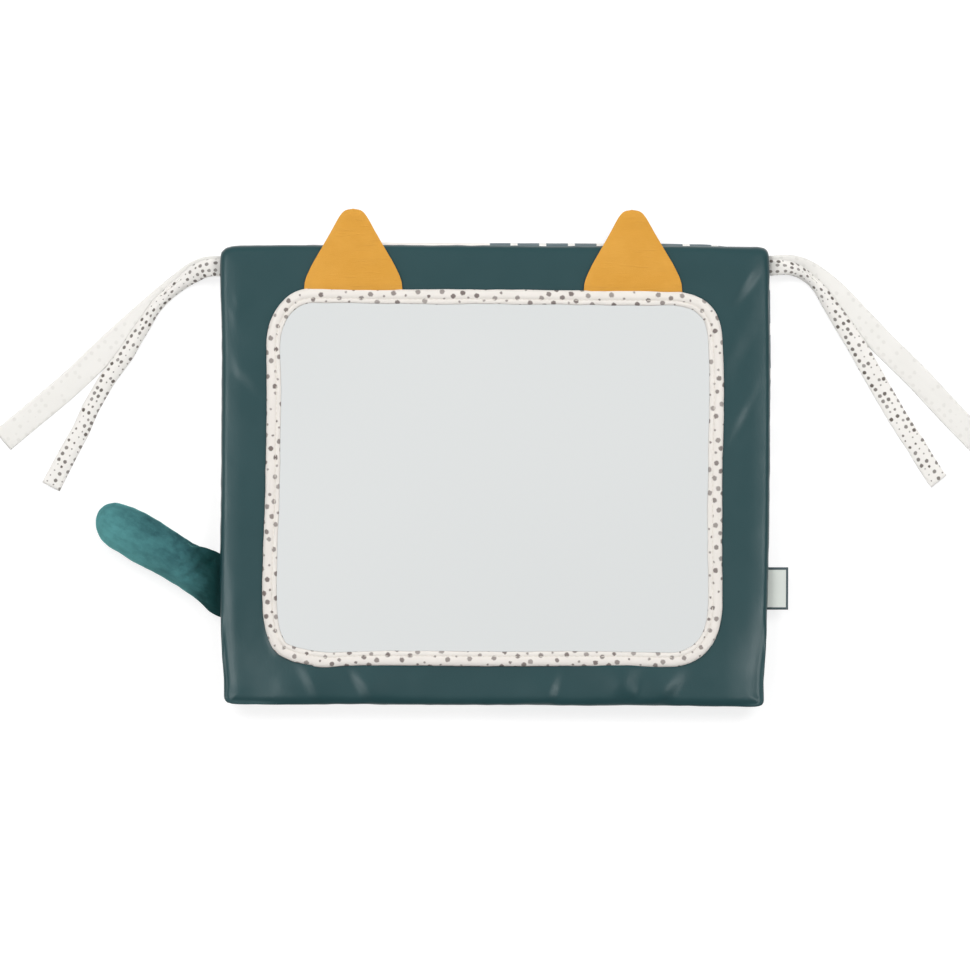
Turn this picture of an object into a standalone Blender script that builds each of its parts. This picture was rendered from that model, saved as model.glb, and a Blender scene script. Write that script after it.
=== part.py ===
"""Soft baby mirror that folds like a book: a mirror panel and a back panel joined by a cloth spine,
with two ears, a stuffed tail, a loop label and four tie tapes. It lies on its back, mirror up.
Metres, +Z up. The origin is on the surface that it lies on, under the middle of the mirror panel."""

import math
from typing import NamedTuple

import bmesh
import bpy
from mathutils import Vector

# Panels
PANEL_TOP_WIDTH = 0.3294
PANEL_BOTTOM_WIDTH = 0.3262
PANEL_HEIGHT = 0.2752
PANEL_CENTRE_Y = 0.0002
PANEL_TOP_RADIUS = 0.006
PANEL_BOTTOM_RADIUS = 0.003
PANEL_THICKNESS = 0.0138
PANEL_GAP = 0.0004
BACK_PANEL_SHIFT = 0.0022
COVER_WALL = 0.001
LINING_THICKNESS = 0.001
BOARD_THICKNESS = 0.0015
BOARD_MARGIN = 0.003
SEAM_INSET = 0.0005
SIDE_SWELL_HEIGHT = 0.0038
SHOULDER_RADIUS = 0.0038
SHOULDER_ANGLE = math.radians(75)
CROWN_WIDTH = 0.022
CROWN_DROP = 0.0012
CLEARANCE = 0.0003

# Seams that a sewn-in tail or label turns about
SEAM_HINGE_GAP = 0.0001
SEAM_ROOT_GAP = 0.0003

# Spine
SPINE_MARGIN = 0.0147
SPINE_THICKNESS = 0.001
SPINE_EDGE_HEIGHT = 0.0016
FOLD_CLEARANCE = 0.0004

# Mirror and its binding
BINDING_CENTRE_X = -0.0005
BINDING_TOP_MARGIN = 0.0265
BINDING_BOTTOM_MARGIN = 0.0231
BINDING_TOP_SIDE_MARGIN = 0.0281
BINDING_BOTTOM_SIDE_MARGIN = 0.0249
BINDING_RADIUS = 0.025
TAPE_VISIBLE_WIDTH = 0.0087
TAPE_SIDE_WIDTH = 0.0034
TAPE_CROWN = 0.0016
MIRROR_THICKNESS = 0.001

# Ears
EAR_OFFSET = 0.0841
EAR_WIDTH = 0.0588
EAR_HEIGHT = 0.0484
EAR_TIP_RADIUS = 0.0072
EAR_HIP_RADIUS = 0.014
EAR_HIP_HEIGHT = 0.002
EAR_CLOTH_THICKNESS = 0.0008
EAR_FILM_THICKNESS = 0.0003
EAR_FILM_INSET = 0.003
EAR_BASE_GAP = 0.0004

# Tail
TAIL_BASE_Y = -0.0663
TAIL_BASE_WIDTH = 0.039
TAIL_WIDTH = 0.028
TAIL_THICKNESS = 0.0252
TAIL_LENGTH = 0.0835
TAIL_TIP_LENGTH = 0.0145
TAIL_NECK_LENGTH = 0.03
TAIL_FLARE_LENGTH = 0.02
TAIL_ROOT_THICKNESS = 0.0015
TAIL_WALL = 0.0005
TAIL_FLOOR_GAP = 0.0002
STUFFING_START = 0.01
STUFFING_GAP = 0.0006

# Label
LABEL_Y = -0.0684
LABEL_LENGTH = 0.0132
LABEL_HEIGHT = 0.026
LABEL_THICKNESS = 0.0014
LABEL_CORNER_RADIUS = 0.0015

# Tie tapes
TIE_WIDTH = 0.012
TIE_THICKNESS = 0.0009

# How finely curves are drawn
PANEL_CORNER_STEPS = 4
BINDING_CORNER_STEPS = 8
CROWN_STEPS = 4
SHOULDER_STEPS = 3
TAPE_STEPS = 6
EAR_ARC_STEPS = 6
TAIL_BODY_RINGS = 12
TAIL_TIP_RINGS = 5
TAIL_TIP_ANGLE = math.radians(82)
TAIL_SIDES = 20
TIE_STEPS = 3
LEAST_RADIUS = 0.0004

# Worked-out places across the panel
PANEL_TOP_Y = PANEL_CENTRE_Y + PANEL_HEIGHT / 2
PANEL_BOTTOM_Y = PANEL_CENTRE_Y - PANEL_HEIGHT / 2
BINDING_TOP_Y = PANEL_TOP_Y - BINDING_TOP_MARGIN
BINDING_BOTTOM_Y = PANEL_BOTTOM_Y + BINDING_BOTTOM_MARGIN

# Worked-out heights, from the resting surface up
SEAM_Z_BACK = PANEL_THICKNESS - LINING_THICKNESS - CLEARANCE
LINING_BOTTOM_FRONT = PANEL_THICKNESS + PANEL_GAP
SEAM_Z_FRONT = LINING_BOTTOM_FRONT + LINING_THICKNESS + CLEARANCE
FACE_Z = LINING_BOTTOM_FRONT + PANEL_THICKNESS
COVER_HEIGHT = FACE_Z - SEAM_Z_FRONT
SHEET_Z = FACE_Z + CLEARANCE
LIP_Z = SHEET_Z + MIRROR_THICKNESS + CLEARANCE
BINDING_TOP_Z = LIP_Z + TAPE_CROWN


def panel_side_x(y):
    """How far the mirror panel's side lies from its middle line."""
    share = (y - PANEL_BOTTOM_Y) / (PANEL_TOP_Y - PANEL_BOTTOM_Y)
    return (PANEL_BOTTOM_WIDTH + (PANEL_TOP_WIDTH - PANEL_BOTTOM_WIDTH) * share) / 2


# Joint axes
FOLD_PIVOT = Vector((
    0,
    PANEL_TOP_Y + CLEARANCE + SPINE_THICKNESS + FOLD_CLEARANCE,
    PANEL_THICKNESS + PANEL_GAP / 2,
))
EAR_PIVOT_Y = BINDING_TOP_Y + EAR_BASE_GAP / 2
EAR_PIVOT_Z = BINDING_TOP_Z + CLEARANCE / 3
TAIL_PIVOT = Vector((
    -panel_side_x(TAIL_BASE_Y) - SEAM_HINGE_GAP,
    TAIL_BASE_Y,
    LINING_BOTTOM_FRONT + LINING_THICKNESS / 2,
))
LABEL_PIVOT = Vector((
    panel_side_x(LABEL_Y) + SEAM_HINGE_GAP,
    LABEL_Y,
    SEAM_Z_FRONT - CLEARANCE / 2,
))

# Directions of the tail, from its seam to its tip, as shares of its length along X and Y
TAIL_DIRECTION_SHARES = Vector((-0.867, 0.498, 0)).normalized()

# Routes of the tie tapes: outwards from the back panel's side, up from its top edge, and height
TIE_LEFT_PLAIN = (
    (0.0002, -0.0124, 0.0117), (0.0037, -0.0122, 0.0115), (0.0083, -0.0122, 0.0101),
    (0.0135, -0.0132, 0.0071), (0.0197, -0.0162, 0.0036), (0.0270, -0.0215, 0.0013),
    (0.0360, -0.0286, 0.0007), (0.0484, -0.0394, 0.0007), (0.0601, -0.0496, 0.0007),
    (0.0756, -0.0638, 0.0007), (0.0916, -0.0790, 0.0007), (0.1039, -0.0898, 0.0007),
    (0.1150, -0.0989, 0.0007), (0.1261, -0.1081, 0.0007), (0.1361, -0.1165, 0.0007),
)
TIE_LEFT_PRINTED = (
    (0.0002, -0.0132, 0.0131), (0.0043, -0.0130, 0.0131), (0.0093, -0.0133, 0.0118),
    (0.0147, -0.0149, 0.0088), (0.0210, -0.0185, 0.0053), (0.0280, -0.0235, 0.0029),
    (0.0365, -0.0308, 0.0021), (0.0433, -0.0378, 0.0021), (0.0537, -0.0525, 0.0021),
    (0.0642, -0.0702, 0.0019), (0.0746, -0.0879, 0.0009), (0.0850, -0.1065, 0.0007),
    (0.0955, -0.1255, 0.0007), (0.1061, -0.1456, 0.0007),
)
TIE_RIGHT_PLAIN = (
    (0.0002, -0.0120, 0.0117), (0.0037, -0.0118, 0.0114), (0.0083, -0.0119, 0.0098),
    (0.0136, -0.0126, 0.0066), (0.0199, -0.0150, 0.0032), (0.0266, -0.0192, 0.0012),
    (0.0339, -0.0250, 0.0007), (0.0430, -0.0334, 0.0007), (0.0557, -0.0457, 0.0007),
    (0.0712, -0.0607, 0.0007), (0.0872, -0.0763, 0.0007), (0.0995, -0.0883, 0.0007),
    (0.1106, -0.0991, 0.0007), (0.1217, -0.1098, 0.0007), (0.1310, -0.1188, 0.0007),
)
TIE_RIGHT_PRINTED = (
    (0.0002, -0.0131, 0.0131), (0.0041, -0.0129, 0.0130), (0.0091, -0.0132, 0.0115),
    (0.0146, -0.0148, 0.0083), (0.0205, -0.0182, 0.0049), (0.0263, -0.0230, 0.0028),
    (0.0317, -0.0298, 0.0022), (0.0367, -0.0389, 0.0021), (0.0445, -0.0532, 0.0021),
    (0.0544, -0.0713, 0.0019), (0.0649, -0.0901, 0.0009), (0.0753, -0.1082, 0.0007),
    (0.0861, -0.1255, 0.0007), (0.1005, -0.1433, 0.0007),
)

# Colour, roughness and metallic value of each material
TEAL = ((0.043, 0.088, 0.095), 0.42, 0.0)
CREAM = ((0.87, 0.85, 0.82), 0.85, 0.0)
SLATE = ((0.13, 0.17, 0.19), 0.85, 0.0)
OCHRE = ((0.76, 0.39, 0.065), 0.9, 0.0)
VELOUR = ((0.052, 0.155, 0.175), 0.8, 0.0)
MIRROR = ((0.8, 0.82, 0.82), 0.05, 1.0)
TAPE = ((0.8, 0.76, 0.7), 0.9, 0.0)
FOAM = ((0.9, 0.88, 0.8), 0.95, 0.0)
BOARD = ((0.55, 0.52, 0.46), 0.8, 0.0)
FILM = ((0.85, 0.86, 0.87), 0.25, 0.0)


class Outline(NamedTuple):
    """A rounded four-sided outline, wider or narrower at its foot than at its top."""

    centre_x: float
    top_width: float
    bottom_width: float
    top_y: float
    bottom_y: float
    top_radius: float
    bottom_radius: float
    corner_steps: int


def clear_scene():
    for obj in list(bpy.data.objects):
        bpy.data.objects.remove(obj, do_unlink=True)


def material(name, look):
    colour, roughness, metallic = look
    made = bpy.data.materials.new(name)
    made.use_nodes = True
    shader = made.node_tree.nodes["Principled BSDF"]
    shader.inputs["Base Color"].default_value = (*colour, 1)
    shader.inputs["Roughness"].default_value = roughness
    shader.inputs["Metallic"].default_value = metallic
    made.diffuse_color = (*colour, 1)
    return made


def pivot(name, place, parent=None):
    """An empty on a joint's axis, which carries the pieces that turn about it."""
    made = bpy.data.objects.new(name, None)
    bpy.context.scene.collection.objects.link(made)
    made.location = place - (parent.matrix_world.translation if parent else Vector())
    made.parent = parent
    bpy.context.view_layer.update()
    return made


def finish_piece(name, mesh_data, look, carrier):
    """Turns a bmesh in world places into an object whose origin is its carrier's."""
    origin = carrier.matrix_world.translation
    bmesh.ops.translate(mesh_data, verts=mesh_data.verts, vec=-origin)
    bmesh.ops.recalc_face_normals(mesh_data, faces=mesh_data.faces)
    mesh = bpy.data.meshes.new(name)
    mesh_data.to_mesh(mesh)
    mesh_data.free()
    mesh.shade_smooth()
    mesh.set_sharp_from_angle(angle=math.radians(40))
    mesh.materials.append(material(name, look))
    made = bpy.data.objects.new(name, mesh)
    bpy.context.scene.collection.objects.link(made)
    made.parent = carrier
    return made


def outline_points(outline, inset):
    """The outline pulled in by inset, anticlockwise from its lower right corner."""
    points = []
    for quarter, (side_x, side_y) in enumerate(((1, -1), (1, 1), (-1, 1), (-1, -1))):
        at_top = side_y > 0
        half_width = (outline.top_width if at_top else outline.bottom_width) / 2 - inset
        edge_y = outline.top_y - inset if at_top else outline.bottom_y + inset
        radius = max((outline.top_radius if at_top else outline.bottom_radius) - inset, LEAST_RADIUS)
        for step in range(outline.corner_steps + 1):
            angle = math.radians(90) * (quarter - 1 + step / outline.corner_steps)
            points.append((
                outline.centre_x + side_x * (half_width - radius) + radius * math.cos(angle),
                edge_y - side_y * radius + radius * math.sin(angle),
            ))
    return points


def ring(outline, inset, height):
    return [Vector((x, y, height)) for x, y in outline_points(outline, inset)]


def loft(name, rings, look, carrier, closed=False):
    """One solid through rings of equally many points: capped at both ends, or joined end to end."""
    mesh_data = bmesh.new()
    loops = [[mesh_data.verts.new(point) for point in points] for points in rings]
    count = len(loops[0])
    pairs = list(zip(loops, loops[1:]))
    if closed:
        pairs.append((loops[-1], loops[0]))
    for lower, upper in pairs:
        for i in range(count):
            j = (i + 1) % count
            mesh_data.faces.new((lower[i], lower[j], upper[j], upper[i]))
    if not closed:
        mesh_data.faces.new(loops[0])
        mesh_data.faces.new(loops[-1])
    return finish_piece(name, mesh_data, look, carrier)


def cover_profile():
    """A cover's section from its seam to its flat face, as (inset, height above the seam)."""
    points = [(SEAM_INSET, 0), (0, SIDE_SWELL_HEIGHT)]
    shoulder_z = COVER_HEIGHT - CROWN_DROP - SHOULDER_RADIUS
    for step in range(SHOULDER_STEPS + 1):
        angle = SHOULDER_ANGLE * step / SHOULDER_STEPS
        points.append((
            SHOULDER_RADIUS * (1 - math.cos(angle)),
            shoulder_z + SHOULDER_RADIUS * math.sin(angle),
        ))
    start_inset, start_height = points[-1]
    for step in range(1, CROWN_STEPS + 1):
        share = step / CROWN_STEPS
        points.append((
            start_inset + (CROWN_WIDTH - start_inset) * share,
            start_height + (COVER_HEIGHT - start_height) * math.sin(math.radians(90) * share),
        ))
    return points


def inner_profile(points, distance):
    """The same section, moved towards the inside of the cover by distance."""
    moved = []
    for i, (inset, height) in enumerate(points):
        before = points[max(i - 1, 0)]
        after = points[min(i + 1, len(points) - 1)]
        run, rise = after[0] - before[0], after[1] - before[1]
        length = math.hypot(run, rise)
        moved.append((inset + distance * rise / length, height - distance * run / length))
    moved[0] = (points[0][0] + distance, points[0][1])
    moved[-1] = (points[-1][0], points[-1][1] - distance)
    return moved


def panel_outline(centre_x):
    return Outline(
        centre_x, PANEL_TOP_WIDTH, PANEL_BOTTOM_WIDTH, PANEL_TOP_Y, PANEL_BOTTOM_Y,
        PANEL_TOP_RADIUS, PANEL_BOTTOM_RADIUS, PANEL_CORNER_STEPS,
    )


def slab(name, outline, inset, bottom, top, look, carrier):
    return loft(name, [ring(outline, inset, bottom), ring(outline, inset, top)], look, carrier)


def panel(prefix, centre_x, seam_z, way, cover_look, lining_look, carrier):
    """Cover, foam slab, stiffener board and lining of one panel. way is 1 if its face looks up."""
    outline = panel_outline(centre_x)
    outside = cover_profile()
    inside = inner_profile(outside, COVER_WALL)
    cover_rings = [ring(outline, inset, seam_z + way * height) for inset, height in reversed(inside)]
    cover_rings += [ring(outline, inset, seam_z + way * height) for inset, height in outside]
    loft(f"{prefix}_cover", cover_rings, cover_look, carrier)

    foam_foot = BOARD_THICKNESS + CLEARANCE
    core = inner_profile(outside, COVER_WALL + CLEARANCE)
    foam = [(core[1][0] + SEAM_INSET, foam_foot)] + [point for point in core if point[1] > foam_foot]
    foam_rings = [ring(outline, inset, seam_z + way * height) for inset, height in foam]
    loft(f"{prefix}_foam", foam_rings, FOAM, carrier)

    board_inset = SEAM_INSET + COVER_WALL + BOARD_MARGIN
    board_face_z = seam_z + way * BOARD_THICKNESS
    slab(f"{prefix}_board", outline, board_inset, seam_z, board_face_z, BOARD, carrier)
    lining_z = seam_z - way * CLEARANCE
    lining_face_z = lining_z - way * LINING_THICKNESS
    slab(f"{prefix}_lining", outline, SEAM_INSET, lining_z, lining_face_z, lining_look, carrier)


def spine(carrier):
    """The cloth strip across the two panels' top ends."""
    inner_y = PANEL_TOP_Y + CLEARANCE
    outer_y = inner_y + SPINE_THICKNESS
    half = PANEL_TOP_WIDTH / 2 - SPINE_MARGIN
    rings = [
        [
            Vector((-half, inner_y, height)),
            Vector((half, inner_y, height)),
            Vector((half, outer_y, height)),
            Vector((-half, outer_y, height)),
        ]
        for height in (SPINE_EDGE_HEIGHT, PANEL_THICKNESS + PANEL_GAP / 2, FACE_Z - SPINE_EDGE_HEIGHT)
    ]
    loft("hinge_spine", rings, SLATE, carrier)


def mirror(carrier):
    """The mirror sheet, and the padded tape folded over its edge."""
    outline = Outline(
        BINDING_CENTRE_X,
        PANEL_TOP_WIDTH - 2 * BINDING_TOP_SIDE_MARGIN,
        PANEL_BOTTOM_WIDTH - 2 * BINDING_BOTTOM_SIDE_MARGIN,
        BINDING_TOP_Y,
        BINDING_BOTTOM_Y,
        BINDING_RADIUS,
        BINDING_RADIUS,
        BINDING_CORNER_STEPS,
    )
    sheet_inset = TAPE_SIDE_WIDTH + CLEARANCE
    slab("mirror_sheet", outline, sheet_inset, SHEET_Z, SHEET_Z + MIRROR_THICKNESS, MIRROR, carrier)

    section = [(TAPE_SIDE_WIDTH, LIP_Z), (TAPE_SIDE_WIDTH, SHEET_Z), (0, SHEET_Z)]
    for step in range(TAPE_STEPS + 1):
        angle = math.radians(180) * step / TAPE_STEPS
        section.append((
            TAPE_VISIBLE_WIDTH / 2 * (1 - math.cos(angle)),
            LIP_Z + TAPE_CROWN * math.sin(angle),
        ))
    rings = [ring(outline, inset, height) for inset, height in section]
    loft("mirror_binding", rings, TAPE, carrier, closed=True)


def ear_points(inset):
    """Half an ear's outline and its mirror image: hips, straight flanks and a round tip."""
    half_width = EAR_WIDTH / 2 - inset
    hip_radius = EAR_HIP_RADIUS - inset
    tip_radius = EAR_TIP_RADIUS - inset
    hip_x = half_width - hip_radius
    tip_y = EAR_HEIGHT - inset - tip_radius
    reach = math.hypot(hip_x, tip_y - EAR_HIP_HEIGHT)
    flank = math.acos((tip_radius - hip_radius) / reach) - math.atan2(tip_y - EAR_HIP_HEIGHT, hip_x)
    right = [(half_width, inset)]
    for step in range(EAR_ARC_STEPS + 1):
        angle = flank * step / EAR_ARC_STEPS
        right.append((hip_x + hip_radius * math.cos(angle), EAR_HIP_HEIGHT + hip_radius * math.sin(angle)))
    for step in range(EAR_ARC_STEPS):
        angle = flank + (math.radians(90) - flank) * step / EAR_ARC_STEPS
        right.append((tip_radius * math.cos(angle), tip_y + tip_radius * math.sin(angle)))
    return right + [(0, tip_y + tip_radius)] + [(-x, y) for x, y in reversed(right)]


def ear(side, centre_x, carrier):
    """Two cloths with a crackling film between them."""
    base_y = BINDING_TOP_Y + EAR_BASE_GAP
    bottom = FACE_Z + CLEARANCE
    for name, inset, thickness, look in (
        ("back", 0, EAR_CLOTH_THICKNESS, OCHRE),
        ("film", EAR_FILM_INSET, EAR_FILM_THICKNESS, FILM),
        ("front", 0, EAR_CLOTH_THICKNESS, OCHRE),
    ):
        rings = [
            [Vector((centre_x + x, base_y + y, height)) for x, y in ear_points(inset)]
            for height in (bottom, bottom + thickness)
        ]
        loft(f"ear_{side}_{name}", rings, look, carrier)
        bottom += thickness + CLEARANCE


def smooth_step(share):
    share = min(max(share, 0), 1)
    return share * share * (3 - 2 * share)


def tail_ring(along, shrink, rounding):
    """One ring of the tail, at a distance from its seam, pulled in by shrink and scaled by rounding."""
    across_at_seam = Vector((0, 1, 0))
    across_at_tip = Vector((TAIL_DIRECTION_SHARES.y, -TAIL_DIRECTION_SHARES.x, 0))
    flare = smooth_step(along / TAIL_FLARE_LENGTH)
    across = across_at_seam.lerp(across_at_tip, flare).normalized()
    half_width = (TAIL_BASE_WIDTH + (TAIL_WIDTH - TAIL_BASE_WIDTH) * flare) / 2
    neck = smooth_step(along / TAIL_NECK_LENGTH)
    half_height = (TAIL_ROOT_THICKNESS + (TAIL_THICKNESS - TAIL_ROOT_THICKNESS) * neck) / 2
    lowering = Vector((0, 0, TAIL_THICKNESS / 2 + TAIL_FLOOR_GAP - TAIL_PIVOT.z)) * neck
    centre = TAIL_PIVOT - Vector((SEAM_ROOT_GAP, 0, 0)) + TAIL_DIRECTION_SHARES * along + lowering
    points = []
    for side in range(TAIL_SIDES):
        angle = math.radians(360) * side / TAIL_SIDES
        sideways = across * (half_width - shrink) * math.cos(angle)
        upwards = Vector((0, 0, half_height - shrink)) * math.sin(angle)
        points.append(centre + (sideways + upwards) * rounding)
    return points


def tail_rings(shrink, start=0):
    """Rings from the seam to the round tip, all pulled in by shrink."""
    straight = TAIL_LENGTH - TAIL_TIP_LENGTH
    places = [straight * i / TAIL_BODY_RINGS for i in range(TAIL_BODY_RINGS)]
    rings = [tail_ring(along, shrink, 1) for along in places if along >= start]
    for i in range(TAIL_TIP_RINGS + 1):
        angle = TAIL_TIP_ANGLE * i / TAIL_TIP_RINGS
        along = straight + (TAIL_TIP_LENGTH - shrink) * math.sin(angle)
        rings.append(tail_ring(along, shrink, math.cos(angle)))
    return rings


def tail(carrier):
    """A velour cover, open along its seam, over its stuffing."""
    loft("tail_cover", tail_rings(TAIL_WALL)[::-1] + tail_rings(0), VELOUR, carrier)
    loft("tail_stuffing", tail_rings(TAIL_WALL + STUFFING_GAP, STUFFING_START), FOAM, carrier)


def label(carrier):
    """A folded loop label, flat, sewn into the right side seam."""
    root_x = LABEL_PIVOT.x + SEAM_ROOT_GAP
    outline = Outline(
        root_x + LABEL_LENGTH / 2, LABEL_LENGTH, LABEL_LENGTH, LABEL_Y + LABEL_HEIGHT / 2,
        LABEL_Y - LABEL_HEIGHT / 2, LABEL_CORNER_RADIUS, LABEL_CORNER_RADIUS, PANEL_CORNER_STEPS,
    )
    middle = LABEL_PIVOT.z
    slab("label", outline, 0, middle - LABEL_THICKNESS / 2, middle + LABEL_THICKNESS / 2, CREAM, carrier)


def smooth_route(route, way):
    """Points on a smooth curve through a route's own points. way is -1 on the left side."""
    side_x = BACK_PANEL_SHIFT + way * PANEL_TOP_WIDTH / 2
    points = [Vector((side_x + way * outwards, PANEL_TOP_Y + y, height)) for outwards, y, height in route]
    ends = [2 * points[0] - points[1], *points, 2 * points[-1] - points[-2]]
    smooth = []
    for p0, p1, p2, p3 in zip(ends, ends[1:], ends[2:], ends[3:]):
        square = 2 * p0 - 5 * p1 + 4 * p2 - p3
        cube = 3 * p1 - p0 - 3 * p2 + p3
        for step in range(TIE_STEPS):
            t = step / TIE_STEPS
            smooth.append(p1 + ((p2 - p0) * t + square * t**2 + cube * t**3) / 2)
    return smooth + [points[-1]]


def tie(name, route, way, carrier):
    """A flat tape along a route, lying on its broad side."""
    points = smooth_route(route, way)
    rings = []
    for i, point in enumerate(points):
        along = (points[min(i + 1, len(points) - 1)] - points[max(i - 1, 0)]).normalized()
        across = along.cross(Vector((0, 0, 1))).normalized() * TIE_WIDTH / 2
        up = across.cross(along).normalized() * TIE_THICKNESS / 2
        rings.append([point - across - up, point + across - up, point + across + up, point - across + up])
    loft(name, rings, TAPE, carrier)
    length = sum((b - a).length for a, b in zip(points, points[1:]))
    print(f"{name}: {length:.4f} m long")


def build():
    clear_scene()
    base = pivot("base", Vector())
    fold = pivot("fold_pivot", FOLD_PIVOT)
    panel("back", BACK_PANEL_SHIFT, SEAM_Z_BACK, -1, CREAM, SLATE, base)
    panel("front", 0, SEAM_Z_FRONT, 1, TEAL, SLATE, fold)
    spine(base)
    mirror(fold)
    for side, way in (("left", -1), ("right", 1)):
        centre_x = BINDING_CENTRE_X + way * EAR_OFFSET
        ear(side, centre_x, pivot(f"ear_{side}_pivot", Vector((centre_x, EAR_PIVOT_Y, EAR_PIVOT_Z)), fold))
    tail(pivot("tail_pivot", TAIL_PIVOT, fold))
    label(pivot("label_pivot", LABEL_PIVOT, fold))
    tie("tie_left_plain", TIE_LEFT_PLAIN, -1, base)
    tie("tie_left_printed", TIE_LEFT_PRINTED, -1, base)
    tie("tie_right_plain", TIE_RIGHT_PLAIN, 1, base)
    tie("tie_right_printed", TIE_RIGHT_PRINTED, 1, base)


build()
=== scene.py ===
import math

import bmesh
import bpy
import numpy as np
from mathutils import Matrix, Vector, noise

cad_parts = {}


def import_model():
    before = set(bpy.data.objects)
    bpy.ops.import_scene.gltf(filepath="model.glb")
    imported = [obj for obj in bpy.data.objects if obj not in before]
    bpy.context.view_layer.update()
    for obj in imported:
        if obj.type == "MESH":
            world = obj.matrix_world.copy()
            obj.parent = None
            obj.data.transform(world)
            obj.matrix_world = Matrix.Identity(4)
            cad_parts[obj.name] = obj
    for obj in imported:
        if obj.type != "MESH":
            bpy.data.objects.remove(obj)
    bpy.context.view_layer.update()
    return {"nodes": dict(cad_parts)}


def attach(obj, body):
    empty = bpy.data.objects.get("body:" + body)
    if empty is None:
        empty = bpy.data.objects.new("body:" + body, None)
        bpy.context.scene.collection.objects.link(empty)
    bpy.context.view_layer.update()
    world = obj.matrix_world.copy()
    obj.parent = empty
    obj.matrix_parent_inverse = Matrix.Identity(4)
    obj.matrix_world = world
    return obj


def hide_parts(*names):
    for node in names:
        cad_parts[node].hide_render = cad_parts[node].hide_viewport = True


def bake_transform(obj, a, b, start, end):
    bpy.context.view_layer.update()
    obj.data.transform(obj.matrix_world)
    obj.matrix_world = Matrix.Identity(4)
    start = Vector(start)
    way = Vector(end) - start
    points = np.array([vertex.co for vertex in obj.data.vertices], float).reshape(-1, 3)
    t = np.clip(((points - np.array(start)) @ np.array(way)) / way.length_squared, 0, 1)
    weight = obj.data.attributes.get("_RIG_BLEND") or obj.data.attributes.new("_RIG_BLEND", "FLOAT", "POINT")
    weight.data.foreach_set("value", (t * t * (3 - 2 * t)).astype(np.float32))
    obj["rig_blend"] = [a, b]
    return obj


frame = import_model()

# Heights above the resting surface, and the spine's place
SEAM_Z_BACK = 0.0125
SEAM_Z_FRONT = 0.0155
FACE_Z = 0.028
FOLD_Z = 0.014
SPINE_Y = 0.1386
UP = Vector((0, 0, 1))

# The mirror panel's edge seen from above, side by side from the middle of its lower left corner
PANEL_SIDES = (
    ((-0.1622, -0.1356), (-0.16, -0.1369), (-0.153, -0.1377), (-0.12, -0.138), (-0.085, -0.1378),
     (-0.06, -0.1382), (0, -0.1383), (0.045, -0.1386), (0.082, -0.1387), (0.14, -0.1391), (0.153, -0.1394),
     (0.1595, -0.1387)),
    ((0.1616, -0.137), (0.1619, -0.134), (0.1618, -0.125), (0.1627, -0.111), (0.1635, -0.095),
     (0.1647, -0.045), (0.1652, 0), (0.1653, 0.045), (0.1646, 0.105), (0.1644, 0.127), (0.164, 0.1325)),
    ((0.1626, 0.1354), (0.1594, 0.1368), (0.15, 0.1373), (0.1, 0.1378), (0, 0.1382), (-0.1, 0.1385),
     (-0.15, 0.138), (-0.1594, 0.1373)),
    ((-0.1628, 0.1353), (-0.1644, 0.132), (-0.1647, 0.122), (-0.1646, 0.105), (-0.1638, 0.07),
     (-0.1642, 0.045), (-0.1647, 0), (-0.1652, -0.05), (-0.1653, -0.075), (-0.1648, -0.1),
     (-0.1642, -0.112), (-0.1633, -0.125), (-0.1631, -0.133)),
)
BACK_SIDES = (
    ((-0.1585, -0.1352), (-0.156, -0.1366), (-0.149, -0.1371), (-0.13, -0.1371), (-0.07, -0.137),
     (0, -0.1371), (0.08, -0.1371), (0.128, -0.1372), (0.148, -0.1372), (0.157, -0.1368)),
    ((0.1604, -0.135), (0.1616, -0.131), (0.1622, -0.115), (0.1636, -0.06), (0.1652, -0.01), (0.1658, 0.03),
     (0.1661, 0.07), (0.1656, 0.105), (0.1652, 0.123), (0.1642, 0.1305)),
    ((0.1622, 0.134), (0.1585, 0.1356), (0.15, 0.1366), (0.13, 0.1368), (0.05, 0.1372), (-0.05, 0.1373),
     (-0.125, 0.1372), (-0.145, 0.1371), (-0.156, 0.1364)),
    ((-0.16, 0.1346), (-0.1619, 0.131), (-0.1624, 0.115), (-0.1622, 0.09), (-0.1618, 0.04),
     (-0.1612, -0.04), (-0.1609, -0.09), (-0.1607, -0.115), (-0.1602, -0.131)),
)

# The outer edge of the mirror's binding, in the same way
BINDING_SIDES = (
    ((-0.1311, -0.1062), (-0.1229, -0.1106), (-0.1165, -0.1122), (-0.1095, -0.1136), (-0.099, -0.1146),
     (-0.085, -0.1138), (-0.045, -0.1137), (0, -0.1141), (0.05, -0.1139), (0.085, -0.1142), (0.1, -0.1145),
     (0.112, -0.1139), (0.1222, -0.1096)),
    ((0.1294, -0.1026), (0.134, -0.0934), (0.1361, -0.082), (0.1364, -0.07), (0.1361, -0.03),
     (0.1363, 0.01), (0.137, 0.045), (0.1366, 0.07), (0.1356, 0.086), (0.133, 0.096)),
    ((0.1285, 0.1025), (0.1215, 0.1075), (0.111, 0.1103), (0.098, 0.111), (0.06, 0.1112), (0.03, 0.1115),
     (0, 0.1118), (-0.06, 0.1119), (-0.1, 0.1124), (-0.1135, 0.1121), (-0.1228, 0.1085)),
    ((-0.1303, 0.1008), (-0.1348, 0.092), (-0.1368, 0.082), (-0.137, 0.07), (-0.1367, 0.045),
     (-0.1373, 0.01), (-0.1381, -0.02), (-0.1393, -0.05), (-0.1396, -0.072), (-0.1388, -0.086),
     (-0.1362, -0.0976)),
)
SIDE_COUNTS = (220, 180, 220, 180)

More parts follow.
